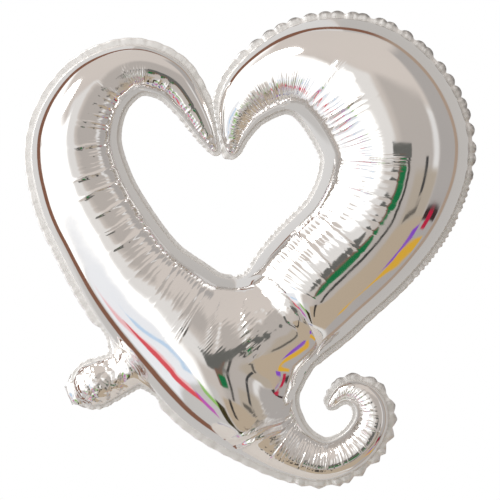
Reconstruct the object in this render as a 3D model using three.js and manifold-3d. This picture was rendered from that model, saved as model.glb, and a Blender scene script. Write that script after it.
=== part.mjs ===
// A foil balloon in the outline of an open heart whose lower end runs on into a curled hook.
// Two film panels are welded along a flat margin, and an inflation tail with a film valve is folded behind.
// Millimetres, +Z up, front of the balloon towards -Y, origin at the middle of the balloon.
import * as THREE from "three";
import { mergeVertices } from "three/addons/utils/BufferGeometryUtils.js";
import Module from "manifold-3d";

const wasm = await Module();
wasm.setup();

// Balloon
const balloonHeight = 476; // over the welded margins, when inflated
const depthShare = 0.86; // depth of an inflated arm over its width
const filmWall = 0.3; // the real film is about 0.035
const marginWidth = 6;
const marginThickness = 0.6;
const partGap = 0.3; // between pieces that touch

// Neck, the narrow inflated end that the valve passes through
const neckRadius = 20;
const bulbRadius = 22.5;
const bulbReach = 25; // from the neck's narrowest place to the middle of the bulb
const neckAngle = 156.5; // degrees about Y, from +X to the way that the neck points

// Inflation tail
const tailWidth = 38;
const tailLength = 52;
const tailCorner = 5;
const tailWeld = 5; // width of each side weld
const tailClearance = 0.5; // between the folded tail and the back of the bulb
const foldRoom = 2.4; // from the fold line to the films on each side of it

// Valve, two narrow clear films
const valveWidth = 20;
const valveFilm = 0.3;
const valveSpacing = 0.3; // between its two films
const valveInside = 48; // how far it reaches into the balloon from the middle of the bulb
const valveProud = 4; // how far it stands out of the tail's mouth

// Middle lines of the inflated arms: x, z and radius at each station, for a balloon 476 high
const designHeight = 476;
const leftArm = [
  [-36, 102, 4],
  [-45, 120, 10],
  [-63, 151, 16],
  [-82, 172, 20],
  [-116, 181, 24.5],
  [-155, 158, 34],
  [-175, 110, 43],
  [-166, 60, 47],
  [-146, 19, 49],
  [-110, -36, 54],
  [-63, -82, 63],
  [-24, -126, 62],
  [12, -174, 38],
  [40, -199, 26],
  [75, -211, 20],
  [106, -197, 18.5],
  [122, -171, 17],
  [119, -152, 15],
  [106, -141, 11.5],
  [92, -143, 8],
  [82, -153, 4.5],
];
const rightArm = [
  [-18, 102, 7],
  [-16, 120, 14],
  [-3, 152, 27],
  [34, 177, 37.5],
  [72, 180, 51],
  [116, 157, 68],
  [145, 107, 73.5],
  [138, 60, 69],
  [111, 14, 63],
  [71, -26, 61],
  [38, -58, 58],
  [0, -90, 50],
];
const neckStart = [-132, -124]; // x and z of the neck's narrowest place
const neckRoot = [-95, -104]; // inside the left arm

const ringsPerStation = 3;
const sides = 12;
const capRings = 2;

const scale = balloonHeight / designHeight;
const up = new THREE.Vector3(0, 1, 0);

function scaled(stations) {
  return stations.map((station) => station.map((value) => value * scale));
}

// The way that the neck points, in the plane of the balloon
const neckWay = new THREE.Vector3(1, 0, 0).applyAxisAngle(up, THREE.MathUtils.degToRad(neckAngle));
const neckPlace = new THREE.Vector3(neckStart[0] * scale, 0, neckStart[1] * scale);
const bulbPlace = neckPlace.clone().addScaledVector(neckWay, bulbReach);
const foldReach = bulbRadius + marginWidth + foldRoom; // from the middle of the bulb to the fold line
const neck = [
  [neckRoot[0] * scale, neckRoot[1] * scale, neckRadius],
  [neckPlace.x, neckPlace.z, neckRadius],
  [bulbPlace.x, bulbPlace.z, bulbRadius],
];

// Materials
const foil = new THREE.MeshStandardMaterial({ color: 0xd9d6d2, roughness: 0.12, metalness: 1 });
const weld = new THREE.MeshStandardMaterial({ color: 0xb9b6b2, roughness: 0.35, metalness: 1 });
const clearFilm = new THREE.MeshStandardMaterial({
  color: 0xe8edf0,
  roughness: 0.25,
  metalness: 0,
  transparent: true,
  opacity: 0.4,
});

const balloon = new THREE.Group();

// A closed mesh as a solid that can be joined and cut
function solidOf(geometry) {
  const bare = new THREE.BufferGeometry();
  bare.setAttribute("position", geometry.getAttribute("position"));
  bare.setIndex(geometry.index);
  const merged = mergeVertices(bare, 1e-4);
  return new wasm.Manifold(
    new wasm.Mesh({
      numProp: 3,
      vertProperties: new Float32Array(merged.attributes.position.array),
      triVerts: new Uint32Array(merged.index.array),
    }),
  );
}

function geometryOf(solid) {
  const mesh = solid.getMesh();
  const geometry = new THREE.BufferGeometry();
  geometry.setAttribute("position", new THREE.BufferAttribute(mesh.vertProperties, 3));
  geometry.setIndex(new THREE.BufferAttribute(mesh.triVerts, 1));
  return geometry;
}

// The rings of one inflated arm, square to its middle line and closed by a round cap at each end.
// A ring touches the balls that the stations describe, so it moves along the line where the radius changes.
function armRings(stations) {
  const line = new THREE.CatmullRomCurve3(
    stations.map(([x, z, radius]) => new THREE.Vector3(x, z, radius)),
    false,
    "centripetal",
  );
  const count = (stations.length - 1) * ringsPerStation;
  const rings = [];
  for (let i = 0; i <= count; i++) {
    const point = line.getPoint(i / count);
    const slope = line.getTangent(i / count);
    const along = new THREE.Vector3(slope.x, 0, slope.y);
    const change = slope.z / along.length();
    along.normalize();
    const place = new THREE.Vector3(point.x, 0, point.y);
    place.addScaledVector(along, -point.z * change);
    rings.push({ place, along, width: point.z * Math.sqrt(1 - change * change) });
  }
  const cap = (end, way) =>
    Array.from({ length: capRings }, (_, k) => {
      const turn = ((k + 1) * Math.PI) / 2 / (capRings + 1);
      const place = end.place.clone().addScaledVector(end.along, way * end.width * Math.sin(turn));
      return { place, along: end.along, width: end.width * Math.cos(turn) };
    });
  const first = rings[0];
  const last = rings[count];
  return {
    rings: [...cap(first, -1).reverse(), ...rings, ...cap(last, 1)],
    tips: [
      { place: first.place, along: first.along.clone().negate(), reach: first.width },
      { place: last.place, along: last.along, reach: last.width },
    ],
  };
}

// One arm as a closed solid, grown outwards by growth all round
function armSolid(stations, growth) {
  const { rings, tips } = armRings(stations);
  const positions = [];
  for (const { place, along, width } of rings) {
    const across = new THREE.Vector3().crossVectors(up, along);
    for (let j = 0; j < sides; j++) {
      const turn = (2 * Math.PI * j) / sides;
      const point = place.clone().addScaledVector(across, (width + growth) * Math.cos(turn));
      point.y = (width * depthShare + growth) * Math.sin(turn);
      positions.push(...point);
    }
  }
  for (const { place, along, reach } of tips) {
    positions.push(...place.clone().addScaledVector(along, reach + growth));
  }
  const index = [];
  const startTip = rings.length * sides;
  const endTip = startTip + 1;
  const lastRing = (rings.length - 1) * sides;
  for (let j = 0; j < sides; j++) {
    const next = (j + 1) % sides;
    index.push(startTip, next, j);
    index.push(endTip, lastRing + j, lastRing + next);
    for (let i = 0; i < lastRing; i += sides) {
      index.push(i + j, i + next, i + sides + j);
      index.push(i + next, i + sides + next, i + sides + j);
    }
  }
  const geometry = new THREE.BufferGeometry();
  geometry.setAttribute("position", new THREE.Float32BufferAttribute(positions, 3));
  geometry.setIndex(index);
  return solidOf(geometry);
}

// The whole inflated outline, grown outwards by growth
function envelope(growth) {
  const arms = [scaled(leftArm), scaled(rightArm), neck].map((stations) => armSolid(stations, growth));
  return arms[0].add(arms[1]).add(arms[2]);
}

// A block across the whole balloon between two heights over the seam plane
function layer(low, high) {
  const block = new THREE.BoxGeometry(balloonHeight * 2, high - low, balloonHeight * 2);
  block.translate(0, (low + high) / 2, 0);
  return solidOf(block);
}

function addPiece(name, geometry, material, group = balloon) {
  const piece = new THREE.Mesh(geometry, material);
  piece.name = name;
  group.add(piece);
  return piece;
}

// The neck's own frame: X the way the neck points, Y to the back, origin in the middle of the bulb
const neckFrame = new THREE.Group();
neckFrame.position.copy(bulbPlace);
neckFrame.rotation.y = THREE.MathUtils.degToRad(neckAngle);
neckFrame.updateMatrix();
balloon.add(neckFrame);

// The slot that the valve passes through at the end of the bulb
function valveSlot() {
  const valveStack = 2 * valveFilm + valveSpacing;
  const slotDepth = 2 * (marginWidth + bulbRadius - valveWidth / 2);
  const slot = new THREE.BoxGeometry(
    slotDepth,
    valveStack + 2 * partGap,
    valveWidth + 2 * partGap,
  );
  slot.translate(foldReach, 0, 0);
  slot.applyMatrix4(neckFrame.matrix);
  return solidOf(slot);
}

function makeFilms() {
  const shell = envelope(0).subtract(envelope(-filmWall));
  const slot = valveSlot();
  const reach = balloonHeight;
  const front = shell.intersect(layer(-reach, -partGap / 2)).subtract(slot);
  const back = shell.intersect(layer(partGap / 2, reach)).subtract(slot);
  addPiece("front_film", geometryOf(front), foil);
  addPiece("back_film", geometryOf(back), foil);
}

function makeMargin() {
  const flat = envelope(marginWidth).intersect(layer(-marginThickness / 2, marginThickness / 2));
  const margin = flat.subtract(envelope(partGap)).subtract(valveSlot());
  addPiece("seam_margin", geometryOf(margin), weld);
}

// A flat sheet in the neck's frame from one reach to another, between two places across, with round corners
// at its outer end
function sheet(from, to, low, high, thickness, middle, corner = 0) {
  const outline = new THREE.Shape();
  outline.moveTo(from, low);
  outline.lineTo(to - corner, low);
  outline.quadraticCurveTo(to, low, to, low + corner);
  outline.lineTo(to, high - corner);
  outline.quadraticCurveTo(to, high, to - corner, high);
  outline.lineTo(from, high);
  outline.closePath();
  const geometry = new THREE.ExtrudeGeometry(outline, {
    depth: thickness,
    bevelEnabled: false,
    curveSegments: 4,
  });
  geometry.rotateX(Math.PI / 2);
  geometry.translate(0, middle + thickness / 2, 0);
  return geometry;
}

const valveLift = (valveFilm + valveSpacing) / 2; // from the seam plane to the middle of each valve film

function makeNeckValve() {
  const reach = foldReach - foldRoom;
  const half = valveWidth / 2;
  for (const [name, side] of [["valve_front_film", -1], ["valve_back_film", 1]]) {
    const film = sheet(-valveInside, reach, -half, half, valveFilm, side * valveLift);
    addPiece(name, film, clearFilm, neckFrame);
  }
}

// The turn from straight out to folded back, in radians: the folded tail lies against the bulb's oval back
function foldTurn(halfStack) {
  const clear = halfStack + tailClearance;
  const long = bulbRadius + clear;
  const deep = bulbRadius * depthShare + clear;
  const touch = Math.acos(long / foldReach);
  return Math.PI - Math.atan2(deep * Math.sin(touch), foldReach - long * Math.cos(touch));
}

// The tail in its own frame: the fold line is its Z axis, and it lies along +X when it is straight out
function makeTail() {
  const filmLift = valveLift + (valveFilm + filmWall) / 2 + partGap;
  const stack = 2 * filmLift + filmWall;
  const tail = new THREE.Group();
  tail.position.x = foldReach;
  tail.rotation.z = foldTurn(stack / 2);
  neckFrame.add(tail);
  const end = foldRoom + tailLength;
  const half = tailWidth / 2;
  const inner = half - tailWeld;
  for (const [name, side] of [["tail_front_film", -1], ["tail_back_film", 1]]) {
    const film = sheet(foldRoom, end, -inner, inner, filmWall, side * filmLift);
    addPiece(name, film, foil, tail);
  }
  for (const [name, side] of [["tail_left_weld", -1], ["tail_right_weld", 1]]) {
    const near = inner + partGap;
    const low = side > 0 ? near : -half;
    const high = side > 0 ? half : -near;
    const corner = Math.min(tailCorner, tailWeld - partGap) / 2;
    addPiece(name, sheet(foldRoom, end, low, high, stack, 0, corner), weld, tail);
  }
  const valveHalf = Math.min(valveWidth / 2, inner - partGap);
  for (const [name, side] of [["tail_valve_front", -1], ["tail_valve_back", 1]]) {
    const film = sheet(foldRoom, end + valveProud, -valveHalf, valveHalf, valveFilm, side * valveLift);
    addPiece(name, film, clearFilm, tail);
  }
}

makeFilms();
makeMargin();
makeNeckValve();
makeTail();

export default balloon;
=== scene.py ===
# A heart-shaped foil balloon with a curled hook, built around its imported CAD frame
import math

import bmesh
import bpy
import numpy as np
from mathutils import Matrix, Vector


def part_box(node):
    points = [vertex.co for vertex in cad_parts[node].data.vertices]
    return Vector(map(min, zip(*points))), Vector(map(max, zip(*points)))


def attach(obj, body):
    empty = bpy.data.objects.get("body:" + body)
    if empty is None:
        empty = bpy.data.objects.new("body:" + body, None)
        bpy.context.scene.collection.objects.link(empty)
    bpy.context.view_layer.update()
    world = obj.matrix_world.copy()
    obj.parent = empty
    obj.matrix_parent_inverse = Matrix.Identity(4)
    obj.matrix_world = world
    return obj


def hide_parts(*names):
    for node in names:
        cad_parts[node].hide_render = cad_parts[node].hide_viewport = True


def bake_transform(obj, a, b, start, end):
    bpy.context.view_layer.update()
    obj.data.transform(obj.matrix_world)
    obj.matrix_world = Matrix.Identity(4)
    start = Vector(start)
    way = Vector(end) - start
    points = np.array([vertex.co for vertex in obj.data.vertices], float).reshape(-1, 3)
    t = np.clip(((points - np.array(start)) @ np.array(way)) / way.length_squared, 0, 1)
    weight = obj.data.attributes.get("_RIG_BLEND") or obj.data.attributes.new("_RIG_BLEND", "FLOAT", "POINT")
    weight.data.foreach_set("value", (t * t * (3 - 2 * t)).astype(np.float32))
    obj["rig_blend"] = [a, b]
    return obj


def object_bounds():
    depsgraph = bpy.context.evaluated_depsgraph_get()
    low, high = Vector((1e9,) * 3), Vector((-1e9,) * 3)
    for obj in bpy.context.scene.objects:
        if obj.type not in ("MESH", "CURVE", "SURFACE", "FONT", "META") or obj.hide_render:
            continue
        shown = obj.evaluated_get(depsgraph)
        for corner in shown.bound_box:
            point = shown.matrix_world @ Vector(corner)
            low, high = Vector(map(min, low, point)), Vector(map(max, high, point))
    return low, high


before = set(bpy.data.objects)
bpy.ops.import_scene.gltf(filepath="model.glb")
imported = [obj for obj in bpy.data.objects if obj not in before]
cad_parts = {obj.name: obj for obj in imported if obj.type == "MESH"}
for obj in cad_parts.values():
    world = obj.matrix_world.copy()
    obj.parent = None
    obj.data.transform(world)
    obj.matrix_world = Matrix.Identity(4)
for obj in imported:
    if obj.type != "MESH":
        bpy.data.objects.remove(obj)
cadLow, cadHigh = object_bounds()
mm = 0.001


def plug(tree, value, slot):
    if isinstance(value, Wire):
        tree.links.new(value.socket, slot)
    elif value is not None:
        slot.default_value = value


class Wire:  # an output socket that can take part in sums
    def __init__(self, tree, socket):
        self.tree = tree
        self.socket = socket

    def maths(self, operation, *values):
        node = self.tree.nodes.new("ShaderNodeMath")
        node.operation = operation
        for value, slot in zip(values, node.inputs):
            plug(self.tree, value, slot)
        return Wire(self.tree, node.outputs[0])

    def __add__(self, other):
        return self.maths("ADD", self, other)

    def __radd__(self, other):
        return self.maths("ADD", other, self)

    def __sub__(self, other):
        return self.maths("SUBTRACT", self, other)

    def __rsub__(self, other):
        return self.maths("SUBTRACT", other, self)

    def __mul__(self, other):
        return self.maths("MULTIPLY", self, other)

    def __rmul__(self, other):
        return self.maths("MULTIPLY", other, self)

    def __truediv__(self, other):
        return self.maths("DIVIDE", self, other)

    def __rtruediv__(self, other):
        return self.maths("DIVIDE", other, self)

    def __pow__(self, other):
        return self.maths("POWER", self, other)

    def __abs__(self):
        return self.maths("ABSOLUTE", self)

    def least(self, other):
        return self.maths("MINIMUM", self, other)

    def rise(self, low, high):  # 0 below low, 1 above high, smooth between
        return make(self.tree, "ShaderNodeMapRange", {"interpolation_type": "SMOOTHSTEP"},
                    {"Value": self, "From Min": low, "From Max": high})

    def between(self, low, high, soft):
        return self.rise(low - soft, low + soft) * (1 - self.rise(high - soft, high + soft))

    def vector(self, operation, other=None, scale=None):
        node = self.tree.nodes.new("ShaderNodeVectorMath")
        node.operation = operation
        plug(self.tree, self, node.inputs[0])
        if other is not None:
            plug(self.tree, other, node.inputs[1])
        if scale is not None:
            plug(self.tree, scale, node.inputs["Scale"])
        return Wire(self.tree, node.outputs[0])


# Any other node: its type, its settings and what its sockets get
def make(tree, kind, settings=None, values=None, out=0):
    node = tree.nodes.new(kind)
    for name, value in (settings or {}).items():
        setattr(node, name, value)
    for name, value in (values or {}).items():
        plug(tree, value, node.inputs[name])
    return Wire(tree, node.outputs[out])


heart = {
    # middle line of each inflated arm: x, z, radius
    "leftArm": [
        (-36, 102, 4), (-45, 120, 10), (-63, 151, 16), (-82, 172, 20), (-116, 181, 24.5),
        (-155, 158, 34), (-175, 110, 43), (-166, 60, 47), (-146, 19, 49), (-110, -36, 54),
        (-63, -82, 63), (-24, -126, 62), (12, -174, 38), (40, -199, 26), (75, -211, 20),
        (106, -197, 18.5), (122, -171, 17), (119, -152, 15), (106, -141, 11.5), (92, -143, 8),
        (82, -153, 4.5),
    ],
    "rightArm": [
        (-18, 102, 7), (-16, 120, 14), (-3, 152, 27), (34, 177, 37.5), (72, 180, 51),
        (116, 157, 68), (145, 107, 73.5), (138, 60, 69), (111, 14, 63), (71, -26, 61),
        (56, -42, 59.5), (38, -64, 53), (8, -84, 58.5), (-24, -97, 62),
    ],
    # rows across each arm, from its outer seam to its inner one: x, z, x, z
    "leftRows": [
        (-35, 100, -40, 97), (-33, 112, -49, 104), (-36, 130, -58, 117), (-45, 156, -73, 134),
        (-60, 180, -85, 146), (-84, 198, -97, 154), (-120, 205, -109, 156), (-156, 194, -119, 150),
        (-190, 170, -127, 138), (-212, 136, -131, 120), (-219, 100, -130, 98), (-215, 60, -124, 72),
        (-204, 18, -112, 44), (-184, -23, -96, 18), (-162, -63, -76, -6), (-140, -95, -54, -24),
        (-119, -124, -31, -29), (-110, -136, -19, -31), (-100, -148, 12, -24), (-78, -174, 50, -62),
        (-56, -193, 67, -94), (-30, -209, 64, -111), (-2, -220, 47, -140), (28, -228, 54, -174),
        (60, -232, 71, -187), (93, -227, 84, -189), (118, -212, 95, -184), (134, -191, 102, -175),
        (139, -166, 105, -164), (133, -147, 101, -156), (116, -133, 94, -153), (97, -129, 89, -155),
        (84, -138, 84, -159), (78, -148, 83, -161),
    ],
    "rightRows": [
        (-24, 98, -14, 96), (-28, 114, -4, 108), (-28, 142, 9, 122), (-19, 170, 18, 130),
        (-1, 198, 27, 136), (27, 219, 36, 140), (61, 230, 46, 138), (95, 231, 55, 132),
        (128, 223, 61, 124), (159, 205, 66, 116), (187, 179, 70, 107), (207, 148, 72, 98),
        (217, 110, 70, 88), (216, 72, 67, 77), (208, 37, 61, 65), (192, 11, 51, 52),
        (172, -12, 40, 38), (151, -34, 28, 24), (129, -56, 16, 10), (107, -77, 5, -2),
        (84, -98, -3, -12), (68, -114, -10, -20), (58, -128, -19, -31),
    ],
    # the filling neck: its middle line, and rows across it from the arm to its round end
    "neck": [(-95, -104, 20), (-132, -124, 20), (-154.9, -134, 22.5)],
    "neckRows": [
        (-153, -76, -92, -154), (-147, -90, -103, -149), (-142, -100, -113, -145),
        (-144, -104, -125, -143), (-152, -108, -136, -149), (-164, -113, -146, -155),
        (-172, -120, -157, -156),
    ],
    "vRow": 17,  # left row whose inner end is the point of the opening
    "notchRow": 21,  # left row whose inner end is the notch above the hook
    # how far the hook's ridge leans towards its outside, by left row
    "hookLean": [(18, 0), (22, 0.45), (26, 0.55), (30, 0.4), (34, 0.2)],
    "depthShare": 0.86,  # half depth as a share of half width
    "lineStep": 2.5,
    # where the arms flow into each other: x, z, reach, softness
    "joins": [(20, -60, 70, 1500), (50, -130, 26, 3600), (-16, -34, 24, 2600)],
    "neckJoin": (-122, -118, 42, 500),  # and the neck into the left one
    # the crease where the right arm's film runs in under the left one's
    "grooveDepth": 2.2,
    "grooveReach": 5,
    "grooveFrom": (6, 30),  # it comes in over this height of the film
    "tuckSlope": 0.8,  # how fast and how far the right arm's film sinks there
    "tuckMost": 4,
    "tuckFrom": 12,  # at full from this height on
}
chunk = 8000  # points worked out at a time, to spare memory


# A smooth line through some points
def through(points, steps):
    p = np.array(points, float)
    p = np.vstack([2 * p[0] - p[1], p, 2 * p[-1] - p[-2]])
    out = []
    for a, b, c, d in zip(p, p[1:], p[2:], p[3:]):
        ab, bc, cd = (max(np.linalg.norm(q - o) ** 0.5, 1e-4) for o, q in ((a, b), (b, c), (c, d)))
        leave = ((b - a) / ab - (c - a) / (ab + bc) + (c - b) / bc) * bc
        reach = ((c - b) / bc - (d - b) / (bc + cd) + (d - c) / cd) * bc
        t = np.linspace(0, 1, steps, endpoint=False)[:, None]
        out.append(b + leave * t + (3 * (c - b) - 2 * leave - reach) * t ** 2
                   + (2 * (b - c) + leave + reach) * t ** 3)
    return np.vstack(out + [p[-2:-1]])


def lengthAlong(points):
    return np.concatenate([[0], np.cumsum(np.linalg.norm(np.diff(points, axis=0), axis=1))])


def resample(points, places, wanted):
    return np.stack([np.interp(wanted, places, column) for column in points.T], axis=1)


def evenly(points, step):
    places = lengthAlong(points[:, :2])
    return resample(points, places, np.linspace(0, places[-1], max(2, round(places[-1] / step) + 1)))


def rise(value, low, high):
    t = np.clip((value - low) / (high - low), 0, 1)
    return t * t * (3 - 2 * t)


armLines = {name: evenly(through(heart[name], 40), heart["lineStep"])
            for name in ("leftArm", "rightArm", "neck")}


# Square of the half depth of round film: the balls of an arm's middle line, swept
def ballField(line, points):
    flat = points.reshape(-1, 2)
    field = np.empty(len(flat))
    for start in range(0, len(flat), chunk):
        part = flat[start:start + chunk]
        f = (line[:, 2] ** 2 - (line[:, :2] ** 2).sum(1))[None] - (part ** 2).sum(1)[:, None]
        f += 2 * part @ line[:, :2].T
        i = np.clip(f.argmax(1), 1, len(line) - 2)
        row = np.arange(len(part))
        low, mid, high = f[row, i - 1], f[row, i], f[row, i + 1]
        bend = np.maximum(2 * mid - low - high, 1e-9)
        shift = np.clip((high - low) / (2 * bend), -1, 1)
        field[start:start + chunk] = mid + (high - low) * shift / 2 - bend * shift ** 2 / 2
    return field.reshape(points.shape[:-1])


# Both arms, which flow into each other where they join
def heartField(points):
    left = ballField(armLines["leftArm"], points)
    right = ballField(armLines["rightArm"], points)
    soft = np.full(left.shape, 1e-6)
    for x, z, reach, softness in heart["joins"]:
        away = ((points - np.array([x, z])) ** 2).sum(-1) / reach ** 2
        soft = np.maximum(soft, softness * np.exp(-away))
    near = np.maximum(soft - np.abs(left - right), 0) / soft
    return np.maximum(left, right) + near ** 2 * soft / 4


# The arms and the neck that grows out of the left one
def wholeField(points):
    arms, neck = heartField(points), ballField(armLines["neck"], points)
    x, z, reach, softness = heart["neckJoin"]
    soft = softness * np.exp(-((points - np.array([x, z])) ** 2).sum(-1) / reach ** 2) + 1e-6
    near = np.maximum(soft - np.abs(arms - neck), 0) / soft
    return np.maximum(arms, neck) + near ** 2 * soft / 4


# Moves points to the nearest place where the film ends
def toSeam(points, field=heartField):
    step = grid["seamStep"]
    for _ in range(grid["seamPasses"]):
        here = field(points)
        slope = np.stack([field(points + way) - here for way in ((step, 0), (0, step))], axis=-1) / step
        size = np.maximum((slope ** 2).sum(-1), 1.0)
        move = -(here / size)[..., None] * slope
        far = np.maximum(np.linalg.norm(move, axis=-1, keepdims=True) / 4, 1)
        points = points + move / far
    return points


def tipOf(line, end):
    a, b = (line[0], line[1]) if end == 0 else (line[-1], line[-2])
    way = (a - b)[:2] / np.linalg.norm((a - b)[:2])
    return a[:2] + way * a[2]


grid = {
    "leftRows": 1300,
    "rightRows": 900,
    "leftColumns": 61,
    "rightColumns": 73,
    "neckCount": 260,
    "neckColumns": 81,
    "guideSteps": 24,
    "combing": 70,  # passes that smooth a film along its rows
    "combShare": 0.12,  # the part of a row's width that they may reach
    "roughRows": (60, 5),  # the last rows of the right arm aren't smoothed
    "seamPasses": 6,
    "seamStep": 0.05,
    "holdOver": 0.4,  # rows over which an inner end is let go of, or held again
}


# Even rows along the guide rows: outer and inner ends, and which guide row each one is at
def spreadRows(rows, count):
    smooth = through(rows, grid["guideSteps"])
    places = (lengthAlong(smooth[:, :2]) + lengthAlong(smooth[:, 2:])) / 2
    wanted = np.linspace(0, places[-1], count)
    ends = resample(smooth, places, wanted)
    marks = np.interp(wanted, places, np.arange(len(smooth)) / grid["guideSteps"])
    return ends[:, :2], ends[:, 2:], marks


# The rows of one arm. Between the held guide rows their inner ends stay where they are
def rowEnds(name, count, endTip, held):
    line = armLines[name + "Arm"]
    rows = [tuple(tipOf(line, 0)) * 2] + heart[name + "Rows"]
    if endTip:
        rows.append(tuple(tipOf(line, 1)) * 2)
    outer, inner, marks = spreadRows(rows, count)
    marks = marks - 1
    low, high = held
    over = grid["holdOver"]
    free = 1 - rise(marks, low, low + over) * (1 - rise(marks, high - over, high))
    outer = toSeam(outer)
    inner = inner + (toSeam(inner) - inner) * free[:, None]
    outer[0] = inner[0] = tipOf(line, 0)
    if endTip:
        outer[-1] = inner[-1] = tipOf(line, 1)
    return outer, inner, marks


# Smooths a grid of points along its rows, less where the film is narrow
def comb(points, hold):
    for _ in range(grid["combing"]):
        mean = (points[:-2] + 2 * points[1:-1] + points[2:]) / 4
        points[1:-1] += (mean - points[1:-1]) * hold[1:-1, None, None]
    return points


def filmGrid(outer, inner, columns, roughEnd, lean=0.0):
    across = (1 - np.cos(np.linspace(0, math.pi, columns))) / 2
    flat = outer[:, None] + (inner - outer)[:, None] * across[None, :, None]
    leaning = across + np.reshape(lean, (-1, 1)) * across * (1 - across)
    looked = outer[:, None] + (inner - outer)[:, None] * leaning[..., None]
    height = heart["depthShare"] * np.sqrt(np.maximum(wholeField(looked), 0))
    points = np.stack([flat[..., 0], height, flat[..., 1]], axis=-1)
    width = np.linalg.norm(inner - outer, axis=1)
    step = lengthAlong((outer + inner) / 2)[-1] / len(outer)
    hold = np.clip((width * grid["combShare"] / step) ** 2 / (grid["combing"] / 2), 0, 1)
    if roughEnd:
        first, last = grid["roughRows"]
        hold *= 1 - rise(np.arange(len(outer)), len(outer) - first, len(outer) - last)
    return comb(points, hold)


leftOuter, leftInner, leftMarks = rowEnds("left", grid["leftRows"], True,
                                          (heart["vRow"], heart["notchRow"]))
rightOuter, rightInner, _ = rowEnds("right", grid["rightRows"], False, (99, 100))
lean = np.interp(leftMarks, *zip(*heart["hookLean"]))
leftFilm = filmGrid(leftOuter, leftInner, grid["leftColumns"], False, lean)
rightFilm = filmGrid(rightOuter, rightInner, grid["rightColumns"], True)
neckOuter, neckInner, _ = spreadRows(heart["neckRows"] + [tuple(tipOf(armLines["neck"], 1)) * 2],
                                     grid["neckCount"])
neckFilm = filmGrid(toSeam(neckOuter, wholeField), toSeam(neckInner, wholeField),
                    grid["neckColumns"], False)
creaseLine = leftInner[(leftMarks >= heart["vRow"]) & (leftMarks <= heart["notchRow"])]
print("films laid out:", leftFilm.shape, rightFilm.shape)


# Stations along a stretch of seam, with a running length that also grows where the seam turns
def stationsOf(points, fan):
    points = evenly(points, 1.0)
    way = np.gradient(points, axis=0)
    angle = np.unwrap(np.arctan2(way[:, 1], way[:, 0]))
    turned = np.concatenate([[0], np.cumsum(np.abs(np.diff(angle)))])
    return points, lengthAlong(points) + fan * turned


def nearest(stations, flat):
    points, run = stations
    shape = flat.shape[:-1]
    flat = flat.reshape(-1, 2)
    gap, along = np.empty(len(flat)), np.empty(len(flat))
    for start in range(0, len(flat), chunk):
        part = flat[start:start + chunk]
        d = (part ** 2).sum(1)[:, None] + (points ** 2).sum(1)[None] - 2 * part @ points.T
        i = d.argmin(1)
        gap[start:start + chunk] = np.sqrt(np.maximum(d[np.arange(len(part)), i], 0))
        k = np.clip(i, 1, len(points) - 2)
        chord = points[k + 1] - points[k - 1]
        share = ((part - points[k - 1]) * chord).sum(1) / np.maximum((chord ** 2).sum(1), 1e-9)
        along[start:start + chunk] = run[k - 1] + (run[k + 1] - run[k - 1]) * np.clip(share, 0, 1)
    return gap.reshape(shape), along.reshape(shape)


pleats = {
    "fan": 22,  # extra length per radian of turn, so pleats fan round the tight places
    "majorSpacing": 17.0,
    "rightSpread": 1.35,  # the right arm's are this much wider apart
    "majorDepth": 1.5,
    "minorSpacing": 5.2,
    "minorDepth": 0.8,
    # valley's sharpness, shortest and longest share of the reach, seed
    "major": (1.3, 0.8, 1.25, 11.3),
    "minor": (0.8, 0.6, 1.1, 5.1),
    "hookMore": 1.3,  # the hook's run this much further and deeper
    "uneven": 0.75,  # 0 is even spacing
    "fadeFrom": 0.45,  # the share of a crease's length where it starts to fade
    "beginOver": (0.7, 1.5),  # the stretch over which it begins, in bands
    "ownDepth": (0.35, 0.8),  # the shallowest crease, and how much deeper they get
    "wobble": 3.0,
    "edgeFade": (0.2, 4),
    "band": 0.12,  # smooth film along the seam itself, as a share of an arm's width
    "tipReach": (5, 24),  # the arms' tips are crumpled up to here, fading over this stretch
    "tipDepth": 3.0,
    "tipFold": 7,
    "reach": 0.56,  # how far the pleats run across an arm, as a share of its width
    "jointWidth": 150,  # the width to reckon with where the arms meet
    "jointRows": (16, 21.5),
    "openEnd": (19.6, 21.0),  # left rows over which the opening's pleats end and the hook's begin
    "hookBegin": (20.4, 21.4),
    "creaseFade": (-4, 6),  # and the right arm's end, by distance from the crease
}

vPoint = int(np.searchsorted(leftMarks, heart["vRow"]))
notchPoint = int(np.searchsorted(leftMarks, heart["notchRow"]))
leftIn, leftOut = leftFilm[:, -1][:, [0, 2]], leftFilm[:, 0][:, [0, 2]]
rightIn, rightOut = rightFilm[:, -1][:, [0, 2]], rightFilm[:, 0][:, [0, 2]]
rightStart = int(np.argmin(np.linalg.norm(rightIn - leftIn[vPoint], axis=1)))
rightStop = int(np.argmin(np.linalg.norm(rightOut - leftIn[notchPoint], axis=1)))
opening = np.vstack([leftIn[:vPoint], rightIn[:rightStart][::-1]])
hookInside = leftIn[notchPoint:]
openingStations = stationsOf(opening, pleats["fan"])
hookStations = stationsOf(hookInside, pleats["fan"])


# Distance to the crease, above 0 on the right arm's side
def creaseSide(flat):
    gap, _ = nearest((creaseLine, lengthAlong(creaseLine)), flat)
    shape = flat.shape[:-1]
    points = flat.reshape(-1, 2)
    side = np.empty(len(points))
    way = np.gradient(creaseLine, axis=0)
    for start in range(0, len(points), chunk):
        part = points[start:start + chunk]
        d = ((part[:, None] - creaseLine[None]) ** 2).sum(2)
        i = d.argmin(1)
        off = part - creaseLine[i]
        side[start:start + chunk] = np.sign(off[:, 1] * way[i, 0] - off[:, 0] * way[i, 1])
    return gap * side.reshape(shape)


# Distance from the nearer end of a row
def edgeGap(flat):
    return np.minimum(*(np.linalg.norm(flat - end, axis=-1) for end in (flat[:, :1], flat[:, -1:])))


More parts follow.
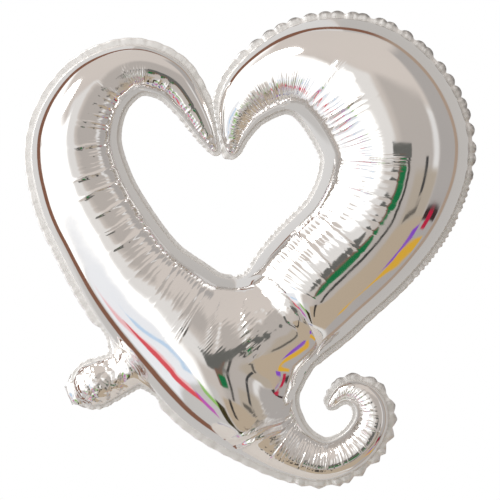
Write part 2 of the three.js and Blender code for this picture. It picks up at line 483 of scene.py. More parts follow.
# One arm's film as a mesh, on the front (side -1) or the back (side 1)
def filmMesh(name, points, side, rightArm):
    flat = points[..., [0, 2]]
    height = points[..., 1]
    q = creaseSide(flat)
    deep = rise(height, *heart["grooveFrom"])
    height = height - heart["grooveDepth"] * np.exp(-np.abs(q) / heart["grooveReach"]) * deep
    if rightArm:
        under = np.clip(-q * heart["tuckSlope"], 0, heart["tuckMost"])
        height = height - under * rise(height, 0, heart["tuckFrom"])
    openGap, openAlong = nearest(openingStations, flat)
    hookGap, hookAlong = nearest(hookStations, flat)
    width = np.linalg.norm(flat[:, 0] - flat[:, -1], axis=1)[:, None]
    if rightArm:
        openAmount = rise(q, *pleats["creaseFade"])
        hookAmount = 0.0
    else:
        marks = leftMarks[:, None]
        openAmount = 1 - rise(marks, *pleats["openEnd"])
        hookAmount = rise(marks, *pleats["hookBegin"])
        low, high = pleats["jointRows"]
        width = np.where((marks > low) & (marks < high), pleats["jointWidth"], width)
    tipAway = np.linalg.norm(flat - tipOf(armLines["rightArm" if rightArm else "leftArm"], 0), axis=-1)
    tipLoose = (1 - rise(tipAway, *pleats["tipReach"])) * rise(edgeGap(flat), *pleats["edgeFade"])
    along = {"tipLoose": tipLoose, "openGap": openGap, "openAlong": openAlong, "hookGap": hookGap,
             "hookAlong": hookAlong, "armWidth": width, "openAmount": openAmount, "hookAmount": hookAmount}
    where = np.stack([flat[..., 0], side * height, flat[..., 1]], axis=-1) * mm
    return gridMesh(name, where, along, flip=(side > 0) != rightArm)


def newObject(name, data):
    item = bpy.data.objects.new(name, data)
    bpy.context.scene.collection.objects.link(item)
    return item


# A grid of points as a smooth mesh, with numbers kept on its points
def gridMesh(name, points, numbers, flip=False, closed=False):
    rows, columns = points.shape[:2]
    index = np.arange(rows * columns).reshape(rows, columns)
    if closed:
        index = np.hstack([index, index[:, :1]])
    a, b, c, d = index[:-1, :-1], index[1:, :-1], index[1:, 1:], index[:-1, 1:]
    quads = np.stack([a, b, c, d] if flip else [a, d, c, b], axis=-1).reshape(-1, 4)
    data = bpy.data.meshes.new(name)
    data.from_pydata(points.reshape(-1, 3).tolist(), [], quads.tolist())
    for key, values in numbers.items():
        values = np.broadcast_to(values, (rows, columns)).astype(np.float32)
        data.attributes.new(key, "FLOAT", "POINT").data.foreach_set("value", values.ravel())
    data.polygons.foreach_set("use_smooth", np.ones(len(data.polygons), bool))
    data.update()
    return newObject(name, data)


# A tree that takes a mesh and some named numbers
def geometryTree(name, numbers):
    tree = bpy.data.node_groups.new(name, "GeometryNodeTree")
    face = tree.interface
    face.new_socket("Geometry", in_out="INPUT", socket_type="NodeSocketGeometry")
    for label in numbers:
        face.new_socket(label, in_out="INPUT", socket_type="NodeSocketFloat")
    face.new_socket("Material", in_out="INPUT", socket_type="NodeSocketMaterial")
    face.new_socket("Geometry", in_out="OUTPUT", socket_type="NodeSocketGeometry")
    entry = tree.nodes.new("NodeGroupInput")
    return tree, {slot.name: Wire(tree, slot) for slot in entry.outputs if slot.name}


# Ends a tree: real geometry that wears the material
def closeTree(tree, geometry, given):
    real = make(tree, "GeometryNodeRealizeInstances", None, {"Geometry": geometry})
    worn = make(tree, "GeometryNodeSetMaterial", None, {"Geometry": real, "Material": given["Material"]})
    plug(tree, worn, tree.nodes.new("NodeGroupOutput").inputs[0])


# Puts a tree on a piece, with its numbers, and keeps the plain mesh that comes out
def bakeTree(item, tree, values):
    modifier = item.modifiers.new(tree.name, "NODES")
    modifier.node_group = tree
    for slot in tree.interface.items_tree:
        if slot.item_type == "SOCKET" and slot.in_out == "INPUT" and slot.name in values:
            modifier[slot.identifier] = values[slot.name]
    numbers = [a.name for a in item.data.attributes if a.data_type == "FLOAT"]
    ready = item.evaluated_get(bpy.context.evaluated_depsgraph_get())
    plain = bpy.data.meshes.new_from_object(ready)
    old, name = item.data, item.data.name
    item.modifiers.remove(modifier)
    item.data = plain
    bpy.data.meshes.remove(old)
    plain.name = name
    for key in numbers:
        plain.attributes.remove(plain.attributes[key])
    return item


def numberOn(tree, name):
    return make(tree, "GeometryNodeInputNamedAttribute", {"data_type": "FLOAT"}, {"Name": name})


# Cells along a line: how far each place is from the middle of its own
def cells(tree, along, uneven):
    return make(tree, "ShaderNodeTexVoronoi", {"voronoi_dimensions": "1D"},
                {"W": along, "Scale": 1.0, "Randomness": uneven})


# Lumps in space, some millimetres wide
def lumps(tree, place, size):
    return make(tree, "ShaderNodeTexVoronoi", None, {"Vector": place, "Scale": 1000 / size})


# Moves a film along its normals by some metres, and ends its tree
def pushFilm(tree, given, push):
    normal = make(tree, "GeometryNodeInputNormal")
    moved = make(tree, "GeometryNodeSetPosition", None,
                 {"Geometry": given["Geometry"], "Offset": normal.vector("SCALE", scale=push)})
    closeTree(tree, moved, given)
    return tree


# One family of creases across the film: sharp valleys at uneven spacing, each with its own length
def creaseFamily(tree, along, gap, width, spacing, depth, given, sharp, shortest, longest, seed):
    cell = cells(tree, along / spacing + given["Seed"] * seed, pleats["uneven"])
    chance = cell.socket.node.outputs["Color"]
    split = make(tree, "FunctionNodeSeparateColor", None, {"Color": Wire(tree, chance)})
    pick = Wire(tree, split.socket.node.outputs[1])
    far = cell * spacing / sharp * -1
    valley = far.maths("EXPONENT", far)
    share = gap / width
    most = (pick * (longest - shortest) + shortest) * given["Reach"]
    fade = 1 - share.rise(most * pleats["fadeFrom"], most)
    begin = share.rise(*(given["Band"] * times for times in pleats["beginOver"]))
    least, more = pleats["ownDepth"]
    own = Wire(tree, split.socket.node.outputs[2]) * more + least
    return valley * fade * begin * own * depth


def pleatTree():
    tree, given = geometryTree("filmPleats", ["Major Spacing", "Major Depth", "Minor Spacing",
                                              "Minor Depth", "Band", "Reach", "Seed"])
    total = 0.0
    for edge, shift, further in (("open", 0.0, 1.0), ("hook", 370.0, pleats["hookMore"])):
        along = numberOn(tree, edge + "Along") + shift
        gap = numberOn(tree, edge + "Gap")
        width = numberOn(tree, "armWidth")
        small = width.rise(20, 70) * 0.5 + 0.5
        width = width * further
        spot = make(tree, "ShaderNodeCombineXYZ", None, {"X": along * 0.05, "Y": gap * 0.07})
        wobble = make(tree, "ShaderNodeTexNoise", {"noise_dimensions": "2D"},
                      {"Vector": spot, "Scale": 1.0, "Detail": 2.0})
        bent = along + (wobble - 0.5) * pleats["wobble"]
        major = creaseFamily(tree, bent, gap, width, given["Major Spacing"] * small,
                             given["Major Depth"], given, *pleats["major"])
        minor = creaseFamily(tree, bent, gap, width, given["Minor Spacing"] * small,
                             given["Minor Depth"], given, *pleats["minor"])
        deeper = numberOn(tree, edge + "Amount") * small * further
        total = (major * further + minor) * deeper + total
    place = make(tree, "GeometryNodeInputPosition")
    folds = lumps(tree, place, pleats["tipFold"]) - 0.35
    total = total + folds * pleats["tipDepth"] * numberOn(tree, "tipLoose")
    return pushFilm(tree, given, total * -mm)


def newMaterial(name, base, metallic, roughness):
    material = bpy.data.materials.new(name)
    material.use_nodes = True
    tree = material.node_tree
    shader = tree.nodes["Principled BSDF"]
    shader.inputs["Base Color"].default_value = (*base, 1)
    shader.inputs["Metallic"].default_value = metallic
    shader.inputs["Roughness"].default_value = roughness
    place = make(tree, "ShaderNodeTexCoord", None, None, "Object")
    return material, tree, shader, place


def noise(tree, place, scale, detail=3.0, rough=0.5):
    return make(tree, "ShaderNodeTexNoise", None,
                {"Vector": place, "Scale": scale, "Detail": detail, "Roughness": rough})


def bump(tree, height, distance, strength=1.0):
    return make(tree, "ShaderNodeBump", None, {"Height": height, "Distance": distance, "Strength": strength})


def blendColour(tree, share, first, second):
    node = tree.nodes.new("ShaderNodeMix")
    node.data_type = "RGBA"
    node.clamp_factor = True
    plug(tree, share, node.inputs[0])
    for value, slot in ((first, node.inputs[6]), (second, node.inputs[7])):
        plug(tree, value if isinstance(value, Wire) else (*value, 1), slot)
    return Wire(tree, node.outputs[2])


# Inflated metallised film: a near mirror with faint haze and the ripple of thin film under tension
def foilMaterial():
    material, tree, shader, place = newMaterial("silverFoil", (0.9, 0.885, 0.87), 1.0, 0.06)
    haze = noise(tree, place, 60, 4)
    plug(tree, haze.rise(0.35, 0.75) * 0.05 + 0.05, shader.inputs["Roughness"])
    ripple = noise(tree, place, 16, 1) + noise(tree, place, 70, 2) * 0.05
    plug(tree, bump(tree, ripple, 0.0008), shader.inputs["Normal"])
    tint = noise(tree, place, 9, 2).rise(0.3, 0.7)
    colour = blendColour(tree, tint, (0.9, 0.885, 0.87), (0.86, 0.85, 0.845))
    plug(tree, colour, shader.inputs["Base Color"])
    return material


# The flat welded edge: duller, with a fine crinkle, and painted shade (dark grey) where it rolls over
# between its points
def marginMaterial():
    material, tree, shader, place = newMaterial("weldedMargin", (0.9, 0.895, 0.885), 0.7, 0.35)
    plug(tree, noise(tree, place, 90, 3).rise(0.3, 0.7) * 0.1 + 0.32, shader.inputs["Roughness"])
    crinkle = noise(tree, place, 60, 2) + noise(tree, place, 240, 2) * 0.06
    plug(tree, bump(tree, crinkle, 0.0003), shader.inputs["Normal"])
    # painted shade and dark reflection: the base colour goes patchy dark grey where the edge rolls over
    rolledShade = make(tree, "ShaderNodeAttribute", {"attribute_name": "rolledShade"}, None, "Fac")
    paintedShade = rolledShade * noise(tree, place, 220, 2).rise(0.2, 0.6)
    colour = blendColour(tree, paintedShade, (0.9, 0.895, 0.885), (0.36, 0.355, 0.35))
    plug(tree, colour, shader.inputs["Base Color"])
    return material


def valveMaterial():
    material, tree, shader, place = newMaterial("clearValveFilm", (0.93, 0.94, 0.95), 0.0, 0.12)
    shader.inputs["IOR"].default_value = 1.5
    shader.inputs["Alpha"].default_value = 0.45
    plug(tree, noise(tree, place, 150, 2) * 0.15 + 0.08, shader.inputs["Roughness"])
    plug(tree, bump(tree, noise(tree, place, 90, 3), 0.0006), shader.inputs["Normal"])
    return material


foil = foilMaterial()
weld = marginMaterial()
clearFilm = valveMaterial()
crimp = pleatTree()
for name, points, side, rightArm, seed in (
        ("leftArmFront", leftFilm, -1, False, 1.0), ("leftArmBack", leftFilm, 1, False, 2.6),
        ("rightArmFront", rightFilm, -1, True, 3.1), ("rightArmBack", rightFilm, 1, True, 4.9)):
    piece = filmMesh(name, points, side, rightArm)
    bakeTree(piece, crimp, {
        "Major Spacing": pleats["majorSpacing"] * (pleats["rightSpread"] if rightArm else 1.0),
        "Major Depth": pleats["majorDepth"], "Minor Spacing": pleats["minorSpacing"],
        "Minor Depth": pleats["minorDepth"], "Band": pleats["band"], "Reach": pleats["reach"],
        "Seed": seed, "Material": foil})
    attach(piece, "balloon")
    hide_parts("front_film" if side < 0 else "back_film")
print("films pleated")

neck = {
    "crumpleStart": 3,  # distance past the arm's seam where the film starts to crumple
    "crumpleFull": 26,
    "depth": 2.4,
    "fold": 13,  # size of the folds
    "tuck": 0.7,  # how far its root lies under the arm's film
    "flat": 0.8,  # share of a full round depth
    "fall": 100,  # how fast the field falls past the seam, for each millimetre
    "tuckOver": (-0.4, 0.6),
    "edgeFade": (0.2, 3),
    "bend": 0.006,  # how far the folds wander
    "finer": 2.4,  # the small folds among them: how many times smaller, and their share
    "fineShare": 0.35,
    "seed": 0.3,
}


def neckMesh(name, side):
    flat = neckFilm[..., [0, 2]]
    past = -heartField(flat) / neck["fall"]
    height = neckFilm[..., 1]
    loose = rise(past, neck["crumpleStart"], neck["crumpleFull"])
    height = height * (1 - (1 - neck["flat"]) * loose)
    height = np.maximum(height - neck["tuck"] * (1 - rise(past, *neck["tuckOver"])), 0)
    where = np.stack([flat[..., 0], side * height, flat[..., 1]], axis=-1) * mm
    loose = loose * rise(edgeGap(flat), *neck["edgeFade"])
    return gridMesh(name, where, {"loose": loose}, flip=side > 0)


# Crumples: flat facets between sharp folds, over folds that gather along the neck
def crumpleTree():
    tree, given = geometryTree("neckCrumples", ["Depth", "Fold", "Seed"])
    place = make(tree, "GeometryNodeInputPosition")
    shift = make(tree, "ShaderNodeCombineXYZ", None, {"X": given["Seed"]})
    shifted = place.vector("ADD", shift)
    bend = make(tree, "ShaderNodeTexNoise", None, {"Vector": shifted, "Scale": 60.0, "Detail": 2.0}, "Color")
    turned = shifted.vector("ADD", bend.vector("SCALE", scale=neck["bend"]))
    big = lumps(tree, turned, given["Fold"]) - 0.5
    small = lumps(tree, turned, given["Fold"] / neck["finer"]) - 0.5
    folds = big + small * neck["fineShare"]
    return pushFilm(tree, given, folds * given["Depth"] * numberOn(tree, "loose") * mm)


crumple = crumpleTree()
for name, side, node in (("neckFront", -1, "front_film"), ("neckBack", 1, "back_film")):
    piece = bakeTree(neckMesh(name, side), crumple, {
        "Depth": neck["depth"], "Fold": neck["fold"], "Seed": neck["seed"] + side, "Material": foil})
    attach(piece, "balloon")
    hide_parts(node)
print("neck crumpled")


tail = {
    "hinge": (-183.26, 0, -146.29),
    "way": (0.624, 0.733, 0.271),  # along the tail at rest
    "thick": (0.672, -0.680, 0.292),
    "side": (0.39875, 0, -0.91706),
    "neckWay": (-0.91706, 0, -0.39875),
    "start": 2.4,
    "length": 52,
    "half": 14,
    "gather": 7.5,  # half its width where it is gathered at the fold
    "gatherLength": 15,
    "puff": 1.0,
    "weldWidth": 4.8,
    "weldHalf": 0.18,
    "weldFirst": 0.06,  # the welds' width at the fold, as a share of the full one
    "endFade": (-2, 3),  # the tail flattens out this near its ends
    "weldFrom": 8,  # where the side welds start and reach their full width
    "weldFull": 19,
    "rows": 150,
    "around": 72,
    "filmCrumple": (0.9, 9.0, 4.2),  # depth, size of the folds, seed
    "weldCrumple": (0.5, 5.0, 7.7),
}
# the stretch that folds
fold = {
    "rows": 90,
    "inside": 11,  # how far it starts inside the neck's end
    "over": 7,  # and how far it reaches into the tail
    "bulge": 1.5,  # how far its bend stands out past the hinge
    "half": (13, 4.5),  # half its width at the neck, and how much narrower it gets
    "puff": (2.4, 1.5),  # the same for half its thickness
    "bend": (7, 5),  # the part that bends, before and after the hinge
    "crumple": (0.8, 7.0, 9.1),
}
hinge, tailWay, tailThick, tailSide, neckWay = (
    np.array(tail[k], float) for k in ("hinge", "way", "thick", "side", "neckWay"))


def crumpled(piece, sizes, material, shift=0):
    depth, size, seed = sizes
    return bakeTree(piece, crumple, {
        "Depth": depth, "Fold": size, "Seed": seed + shift, "Material": material})


def capEnds(piece, rows, around):
    shape = bmesh.new()
    shape.from_mesh(piece.data)
    shape.verts.ensure_lookup_table()
    shape.faces.new([shape.verts[i] for i in range(around)][::-1])
    shape.faces.new([shape.verts[(rows - 1) * around + i] for i in range(around)])
    bmesh.ops.recalc_face_normals(shape, faces=shape.faces[:])
    shape.to_mesh(piece.data)
    shape.free()
    return piece


# A flat tube along a path: its middle, the way across it and the way through it
def flatTube(name, middle, across, thick, half, puff, loose):
    rows, around = len(middle), tail["around"]
    across, thick = (np.broadcast_to(way, middle.shape) for way in (across, thick))
    a = np.linspace(0, 2 * math.pi, around, endpoint=False)
    wide = np.cos(a)[None] * half[:, None]
    deep = (np.sin(a) * np.sqrt(np.abs(np.sin(a))))[None] * puff[:, None]
    points = middle[:, None] + across[:, None] * wide[..., None] + thick[:, None] * deep[..., None]
    numbers = {"loose": loose[:, None] * np.abs(np.sin(a))[None] ** 0.5}
    return capEnds(gridMesh(name, points * mm, numbers, closed=True), rows, around)


def tailPieces():
    rows = tail["rows"]
    u = np.linspace(tail["start"], tail["start"] + tail["length"], rows)
    ones = np.ones(rows)
    middle = hinge + tailWay * u[:, None]
    end = np.minimum(rise(u - u[0], *tail["endFade"]), rise(u[-1] - u, *tail["endFade"]))
    half = tail["gather"] + (tail["half"] - tail["gather"]) * rise(u, -2, tail["gatherLength"])
    film = flatTube("tailFilm", middle, tailSide, tailThick, half, tail["puff"] * end, end)
    crumpled(film, tail["filmCrumple"], foil)
    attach(film, "tail")
    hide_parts("tail_front_film", "tail_back_film")
    for name, node in (("tailLeftWeld", "tail_left_weld"), ("tailRightWeld", "tail_right_weld")):
        low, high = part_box(node)
        centre = (np.array(low) + np.array(high)) / 2 / mm
        sign = 1 if (centre - hinge) @ tailSide > 0 else -1
        first = tail["weldFirst"]
        width = tail["weldWidth"] * (first + (1 - first) * rise(u, tail["weldFrom"], tail["weldFull"]))
        strip = flatTube(name, middle + tailSide * (sign * (half + width / 2))[:, None],
                         tailSide, tailThick, width / 2, tail["weldHalf"] * ones, rise(u, 2, 10))
        crumpled(strip, tail["weldCrumple"], weld, sign)
        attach(strip, "tail")
        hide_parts(node)


# Out of the neck's end, round and into the tail
def foldPiece():
    begin = hinge - neckWay * fold["inside"]
    finish = hinge + tailWay * fold["over"]
    t = np.linspace(0, 1, fold["rows"])[:, None]
    middle = begin * (1 - t) ** 2 + 2 * (hinge + neckWay * fold["bulge"]) * t * (1 - t) + finish * t ** 2
    way = np.gradient(middle, axis=0)
    way /= np.linalg.norm(way, axis=1, keepdims=True)
    out = np.cross(way, tailSide)
    t = t[:, 0]
    half, narrower = fold["half"]
    puff, thinner = fold["puff"]
    film = flatTube("foldFilm", middle, tailSide, out, half - narrower * rise(t, 0, 0.75),
                    puff - thinner * t, rise(t, 0.1, 0.3) * (1 - rise(t, 0.8, 1.0)))
    crumpled(film, fold["crumple"], foil)
    before, after = fold["bend"]
    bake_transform(film, "balloon", "tail", start=tuple((hinge - neckWay * before) * mm),
             end=tuple((hinge + tailWay * after) * mm))


tailPieces()
foldPiece()
for node in ("tail_valve_front", "tail_valve_back", "valve_front_film", "valve_back_film"):
    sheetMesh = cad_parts[node].data
    sheetMesh.materials.clear()
    sheetMesh.materials.append(clearFilm)
print("tail made")


margin = {
    "width": 6.6,
    "openWidth": 3.6,
    "neckWidth": 3.0,
    "tuck": 0.5,  # how far it reaches in under the films
    "half": 0.12,  # half its thickness
    "columns": 6,
    "puckerShare": 0.35,  # how far a scallop leaves the flat, as a share of its bite
    "spacing": 14.5,  # of the scallops, and of the fine ones in tight places
    "fineSpacing": 5.5,
    "fineStep": (7, 13),  # steps below the first give fine ones, above the second coarse ones
    "roundness": 2.2,
    "curl": 4.8,  # how far the edge rolls over between its points
    "rollBite": (1.5, 3),  # the bite from which it does
    "buckleStep": 6,
    "mergeWithin": 0.02,
    "seed": 0.4,
    "lookOut": 14,  # how far out it looks for another arm
    # scallops along each stretch of seam: place as a share of it, bite, step, extra width
    # and, where there is a fifth number, pointedness
    "leftOuter": [(0, 0, 4, 0), (0.01, 0.8, 4, 0), (0.08, 0.8, 9, 0), (0.2, 0.7, 14, 0.6),
                  (0.9, 0.6, 14, 0.6), (1, 0.6, 14, 0)],
    "neckEdge": [(0, 0.5, 6, 0), (0.3, 1.0, 5, 0.8), (0.7, 1.0, 5, 0.8), (1, 0.5, 6, 0)],
    "lowerOuter": [(0, 0.5, 14, 0, 1), (0.38, 0.8, 14, 0, 1), (0.50, 3.8, 15, 2.0, 1),
                   (0.66, 4.6, 15, 2.6, 1), (0.85, 3.6, 15, 1.5, 0.5), (0.97, 2.0, 9, 0, 0),
                   (1, 1.0, 5, -3, 0)],
    "rightOuter": [(0, 1.2, 5, 0), (0.12, 1.4, 10, 0), (0.20, 3.2, 15, 0.6), (0.60, 4.0, 15, 1.0),
                   (0.67, 2.2, 9, 0.4), (0.80, 1.6, 7, 0), (0.86, 0.4, 14, -1), (1, 0.3, 14, -1)],
    "hookInside": [(0, 0.3, 8, 0), (1, 0.3, 14, 0)],
    "openRight": [(0, 0.3, 9, 0.5), (0.45, 0.5, 9, 0.5), (0.8, 1.4, 5, 0.8), (1, 1.8, 4, 0)],
    "openLeft": [(0, 0.3, 9, 0), (0.75, 0.3, 9, 0), (0.9, 1.2, 5, 0), (1, 0.8, 4, 0)],
}

# the seam as one loop: left arm's outside, hook's inside, right arm's outside, then the opening
neckUp, neckLow = neckFilm[:, 0][:, [0, 2]], neckFilm[:, -1][:, [0, 2]]
aboveNeck = int(np.argmin(np.linalg.norm(leftOut - neckUp[0], axis=1)))
belowNeck = int(np.argmin(np.linalg.norm(leftOut - neckLow[0], axis=1)))
stretches = [("leftOuter", leftOut[:aboveNeck], "width"),
             ("neckEdge", np.vstack([neckUp, neckLow[::-1]]), "neckWidth"),
             ("lowerOuter", leftOut[belowNeck:], "width"),
             ("hookInside", leftIn[notchPoint:][::-1], "openWidth"),
             ("rightOuter", rightOut[:rightStop][::-1], "width"),
             ("openRight", rightIn[:rightStart], "openWidth"),
             ("openLeft", leftIn[:vPoint][::-1], "openWidth")]


# Evens out numbers round a loop; own is how much each one counts against its two neighbours
def softened(values, own, passes):
    for _ in range(passes):
        values = (np.roll(values, 1, axis=0) + own * values + np.roll(values, -1, axis=0)) / (own + 2)
    return values


def marginLoop():
    points, wide, bite, step, sharp = [], [], [], [], []
    for name, line, kind in stretches:
        line = evenly(line, 1.0)
        share = np.linspace(0, 1, len(line))
        if name == "rightOuter":
            share = 1 - share
        knots = np.array(margin[name])
        points.append(line)
        wide.append(margin[kind] + np.interp(share, knots[:, 0], knots[:, 3]))
        bite.append(np.interp(share, knots[:, 0], knots[:, 1]))
        step.append(np.interp(share, knots[:, 0], knots[:, 2]))
        sharp.append(np.interp(share, knots[:, 0], knots[:, 4]) if knots.shape[1] > 4 else 0 * share)
    points = np.vstack(points)
    columns = np.stack([np.concatenate(c) for c in (wide, bite, step, sharp)], axis=1)
    keep = np.concatenate([[True], np.linalg.norm(np.diff(points, axis=0), axis=1) > 0.05])
    points, columns = points[keep], columns[keep]
    loop = np.vstack([points, points[:1]])
    places = lengthAlong(loop)
    wanted = np.linspace(0, places[-1], round(places[-1]), endpoint=False)
    points = resample(loop, places, wanted)
    columns = resample(np.vstack([columns, columns[:1]]), places, wanted)
    columns[:, :1] = softened(columns[:, :1], 2, 12)
    return softened(points, 6, 12), columns


def seamMargin():
    points, columns = marginLoop()
    way = softened(np.roll(points, -2, axis=0) - np.roll(points, 2, axis=0), 2, 6)
    way /= np.linalg.norm(way, axis=1, keepdims=True)
    out = np.stack([way[:, 1], -way[:, 0]], axis=1)
    if wholeField(points[:1] + out[:1] * 3)[0] > 0:
        out = -out
    wide = columns[:, 0]
    # in the cleft the margins of both arms meet half way
    reach = np.arange(0.5, margin["lookOut"], 0.5)
    rays = points[:, None] + out[:, None] * reach[None, :, None]
    hit = wholeField(rays) > 0
    hit[:, :2] = False
    gap = np.where(hit.any(1), reach[hit.argmax(1)], 99)
    wide = np.minimum(wide, gap / 2 + 0.1)
    for _ in range(4):
        wide = np.minimum(wide, (np.roll(wide, 1) + wide + np.roll(wide, -1)) / 3 + 0.15)
    across = np.linspace(0, 1, margin["columns"])
    ring = []
    for side, shares in ((-1, across), (1, across[::-1])):
        for share in shares:
            place = points + out * (-margin["tuck"] + (wide + margin["tuck"]) * share)[:, None]
            level = np.full(len(place), side * margin["half"])
            ring.append(np.stack([place[:, 0], level, place[:, 1]], axis=1))
    where = np.stack(ring, axis=1)
    where = np.concatenate([where, where[:1]], axis=0) * mm
    numbers = {"seamAlong": np.arange(len(where))[:, None],
               "seamOut": np.concatenate([across, across[::-1]])}
    for key, values in (("seamBite", columns[:, 1]), ("seamStep", columns[:, 2]),
                        ("seamSharp", columns[:, 3]), ("outX", out[:, 0]), ("outZ", out[:, 1])):
        numbers[key] = np.append(values, values[0])[:, None]
    return gridMesh("seamMargin", where, numbers, closed=True)


# Scallops: the edge is pulled in between points that stand proud, and puckers out of the flat there
def scallopTree():
    tree, given = geometryTree("marginScallops", ["Seed", "Pucker"])
    along, out = numberOn(tree, "seamAlong"), numberOn(tree, "seamOut")
    bite, step = numberOn(tree, "seamBite"), numberOn(tree, "seamStep")
    cell = cells(tree, along / margin["spacing"] + given["Seed"], 0.5)
    fine = cells(tree, along / margin["fineSpacing"] + given["Seed"] * 3, 0.8)
    close = step.rise(*margin["fineStep"])
    far = (cell * 2).least(1)
    pointed = numberOn(tree, "seamSharp")
    shape = far * pointed + far ** margin["roundness"] * (1 - pointed)
    dip = shape * close + (fine * 2).least(1) * (1 - close)
    pull = dip * bite * out * -mm
    outWay = make(tree, "ShaderNodeCombineXYZ", None,
                  {"X": numberOn(tree, "outX"), "Z": numberOn(tree, "outZ")})
    wave = make(tree, "ShaderNodeTexNoise", {"noise_dimensions": "1D"},
                {"W": along / margin["buckleStep"] + given["Seed"] * 7, "Scale": 1.0, "Detail": 2.0})
    rolls = bite.rise(*margin["rollBite"])
    curl = rolls * (1 - shape) * out ** 4 * margin["curl"]
    buckle = ((wave - 0.5) * 2.2 + (dip - 0.4)) * bite * out + curl
    side = make(tree, "ShaderNodeCombineXYZ", None, {"Y": 1.0})
    lifted = side.vector("SCALE", scale=buckle * given["Pucker"] * mm)
    offset = outWay.vector("SCALE", scale=pull).vector("ADD", lifted)
    moved = make(tree, "GeometryNodeSetPosition", None, {"Geometry": given["Geometry"], "Offset": offset})
    # a mask for painted shade in the margin's colour, where the edge rolls over between its points
    rolledShade = rolls * (1 - shape).rise(0.1, 0.7) * out.rise(0.45, 0.8) * (1 - pointed * 0.7)
    kept = make(tree, "GeometryNodeStoreNamedAttribute", {"data_type": "FLOAT", "domain": "POINT"},
                {"Geometry": moved, "Name": "rolledShade", "Value": rolledShade})
    joined = make(tree, "GeometryNodeMergeByDistance", None,
                  {"Geometry": kept, "Distance": margin["mergeWithin"] * mm})
    closeTree(tree, joined, given)
    return tree


marginPiece = bakeTree(seamMargin(), scallopTree(), {
    "Seed": margin["seed"], "Pucker": margin["puckerShare"], "Material": weld})
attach(marginPiece, "balloon")
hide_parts("seam_margin")
print("margin made")


room = {
    "cameraAway": 2.5,
    "lens": 180,
    "floorDrop": 1.0,
    "floorRadius": 0.6,
    "floorSides": 96,
    "ringMiddle": 0.16,  # a thin dark ring where the wall behind the balloon ends
    "ringHalf": 0.07,
    "ringMore": 0.06,  # and this much more on the left
    "ringSoft": 0.012,
    # place, size, power, colour
    "keyLight": ((-1.6, -1.4, 1.6), 0.9, 18, (1, 0.99, 0.97)),
    "fillLight": ((-2.1, -0.9, 0.6), 1.2, 10, (1, 1, 1)),
}


def stageFloor():
    radius, sides = room["floorRadius"], room["floorSides"]
    rim = [(math.cos(a) * radius, math.sin(a) * radius, cadLow[2] - room["floorDrop"])
           for a in np.linspace(0, 2 * math.pi, sides, endpoint=False)]
    data = bpy.data.meshes.new("floor")
    data.from_pydata(rim, [], [list(range(sides))])
    floor = newObject("floor", data)
    material, tree, shader, place = newMaterial("paleFloor", (0.82, 0.8, 0.77), 0.0, 0.6)
    plug(tree, noise(tree, place, 6, 2) * 0.1 + 0.5, shader.inputs["Roughness"])
    data.materials.append(material)


def camera():
    data = bpy.data.cameras.new("camera")
    data.lens = room["lens"]
    data.sensor_width = 36
    data.clip_start = 0.01
    item = newObject("camera", data)
    item.location = (0, -room["cameraAway"], 0)
    item.rotation_euler = (math.pi / 2, 0, 0)
    bpy.context.scene.camera = item


def softLight(name, place, size, power, colour):
    data = bpy.data.lights.new(name, "AREA")
    data.shape = "DISK"
    data.size = size
    data.energy = power
    data.color = colour
    item = newObject(name, data)
    item.location = place
    item.rotation_euler = Vector((-place[0], -place[1], -place[2])).to_track_quat("-Z", "Y").to_euler()


stageFloor()
camera()


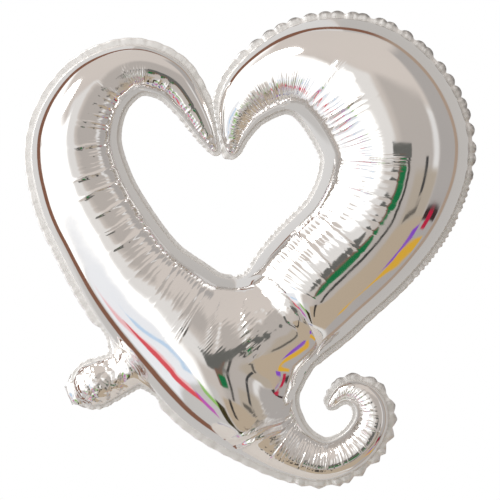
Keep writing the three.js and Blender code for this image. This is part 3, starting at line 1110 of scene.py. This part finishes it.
# The room by direction, in degrees: round from the camera's side towards the right, then up.
# Each patch: from and to round, from and to up, softness, tilt, red, green, blue
roomPatches = {
    "farLeft": (-180, -97, -90, 90, 6, 0, 0.76, 0.75, 0.74),
    "farRight": (100, 180, -90, 90, 6, 0, 0.55, 0.53, 0.51),
    "rightWall": (62, 104, -60, 60, 5, 0, 0.44, 0.415, 0.4),
    "frontRight": (6, 54, -30, 32, 5, 0, 0.50, 0.46, 0.43),
    "paleStrip": (53, 62, -12, 26, 3, 0, 0.80, 0.79, 0.78),
    "frontLeft": (-24, 0, -8, 30, 3, 0, 0.82, 0.8, 0.78),
    "lowerLeft": (-180, -4, -90, -22, 3, 0, 0.60, 0.585, 0.57),
    "windowTop": (-100, -17, -8, 37, 5, -0.55, 1.3, 1.29, 1.27),
    "windowWall": (-100, -17, -19, 14, 1.2, 0.25, 1.3, 1.29, 1.27),
    "windowLow": (-88, -30, -36, -18, 2, 0.3, 0.92, 0.94, 0.98),
    "bluePane": (-52, -30, -23.5, -20.5, 0.8, 0.1, 0.55, 0.72, 0.92),
    "pinkCloth": (-78, -44, -34, -29, 1.2, -0.15, 0.92, 0.55, 0.57),
    "redCloth": (-66, -38, -40, -33, 0.8, -0.35, 0.75, 0.10, 0.12),
    "magentaCloth": (-42, -28, -50, -40, 0.8, -0.9, 0.55, 0.12, 0.5),
    "limeLeaf": (-27, -13, -38, -30, 0.8, -0.9, 0.30, 0.55, 0.15),
    "tanWall": (27, 62, -30, -11, 3, 0, 0.47, 0.41, 0.34),
    "tanFloor": (0, 66, -60, -27, 1.5, 0, 0.50, 0.41, 0.31),
    "oliveCrate": (-14, -3, -60, -36, 0.6, -0.6, 0.05, 0.04, 0.015),
    "doorEdge": (16, 19, -26, -6, 0.5, 0, 0.05, 0.05, 0.045),
    "doorFoot": (9, 13, -44, -26, 0.5, 0, 0.05, 0.045, 0.04),
    "cabinet": (-4, 20, -7, 2, 0.7, 0.1, 0.14, 0.14, 0.13),
    "cabinetFoot": (4, 12, -16, -6, 0.6, 0.1, 0.2, 0.12, 0.09),
    "greenLeaf": (6, 14, -16, -8, 0.7, 0.2, 0.012, 0.17, 0.06),
    "lampPole": (41, 45, -20, -4, 0.7, 0.1, 0.06, 0.06, 0.06),
    "shelf": (31, 46, -25, -22, 0.8, 0.1, 0.12, 0.11, 0.095),
    "blackBag": (64, 92, -29, -24, 0.8, 0, 0.05, 0.03, 0.03),
    "redToy": (72, 81, -33, -25, 0.7, 0, 0.5, 0.02, 0.06),
    "yellowToy": (62, 90, -43, -37, 0.8, 0.15, 0.72, 0.42, 0.05),
    "purpleToy": (57, 66, -39, -32, 0.7, 0.3, 0.25, 0.08, 0.55),
    "paleRug": (-40, 180, -74, -60, 1.5, 0, 0.8, 0.79, 0.77),
    "darkRug": (20, 150, -70, -65, 0.8, 0, 0.04, 0.05, 0.05),
    "blueBox": (-50, -8, -79, -62, 1, 0, 0.08, 0.07, 0.3),
    "brownSkirt": (-180, 10, -74, -68, 0.8, 0, 0.14, 0.055, 0.03),
}


def roomWorld():
    world = bpy.data.worlds.new("room")
    bpy.context.scene.world = world
    world.use_nodes = True
    tree = world.node_tree
    tree.nodes.clear()
    way = make(tree, "ShaderNodeTexCoord", None, None, "Generated")
    parts = make(tree, "ShaderNodeSeparateXYZ", None, {"Vector": way})
    x, y, z = (Wire(tree, slot) for slot in parts.socket.node.outputs)
    turn = x.maths("ARCTAN2", x, y * -1) * (180 / math.pi)
    lift = z.maths("ARCSINE", z) * (180 / math.pi)
    colour = blendColour(tree, lift.rise(-10, 45), (0.60, 0.55, 0.51), (0.69, 0.63, 0.585))
    for low, high, bottom, top, soft, tilt, *paint in roomPatches.values():
        level = lift - (turn - (low + high) / 2) * tilt
        mask = turn.between(low, high, soft) * level.between(bottom, top, soft)
        colour = blendColour(tree, mask, colour, paint)
    half = (x * -1).rise(0.1, 0.6) * room["ringMore"] + room["ringHalf"]
    skirting = 1 - (abs(y - room["ringMiddle"]) - half).rise(-room["ringSoft"], room["ringSoft"])
    ringColour = blendColour(tree, x.rise(0.2, 0.5), (0.24, 0.115, 0.075), (0.42, 0.32, 0.25))
    colour = blendColour(tree, skirting, colour, ringColour)
    seen = make(tree, "ShaderNodeLightPath", None, None, "Is Camera Ray")
    final = blendColour(tree, seen, colour, (1.0, 1.0, 1.0))
    shine = make(tree, "ShaderNodeBackground", None, {"Color": final, "Strength": 1.0})
    plug(tree, shine, tree.nodes.new("ShaderNodeOutputWorld").inputs["Surface"])


roomWorld()
bpy.context.scene.view_settings.view_transform = "Standard"
for name in ("keyLight", "fillLight"):
    softLight(name, *room[name])
print("room made")
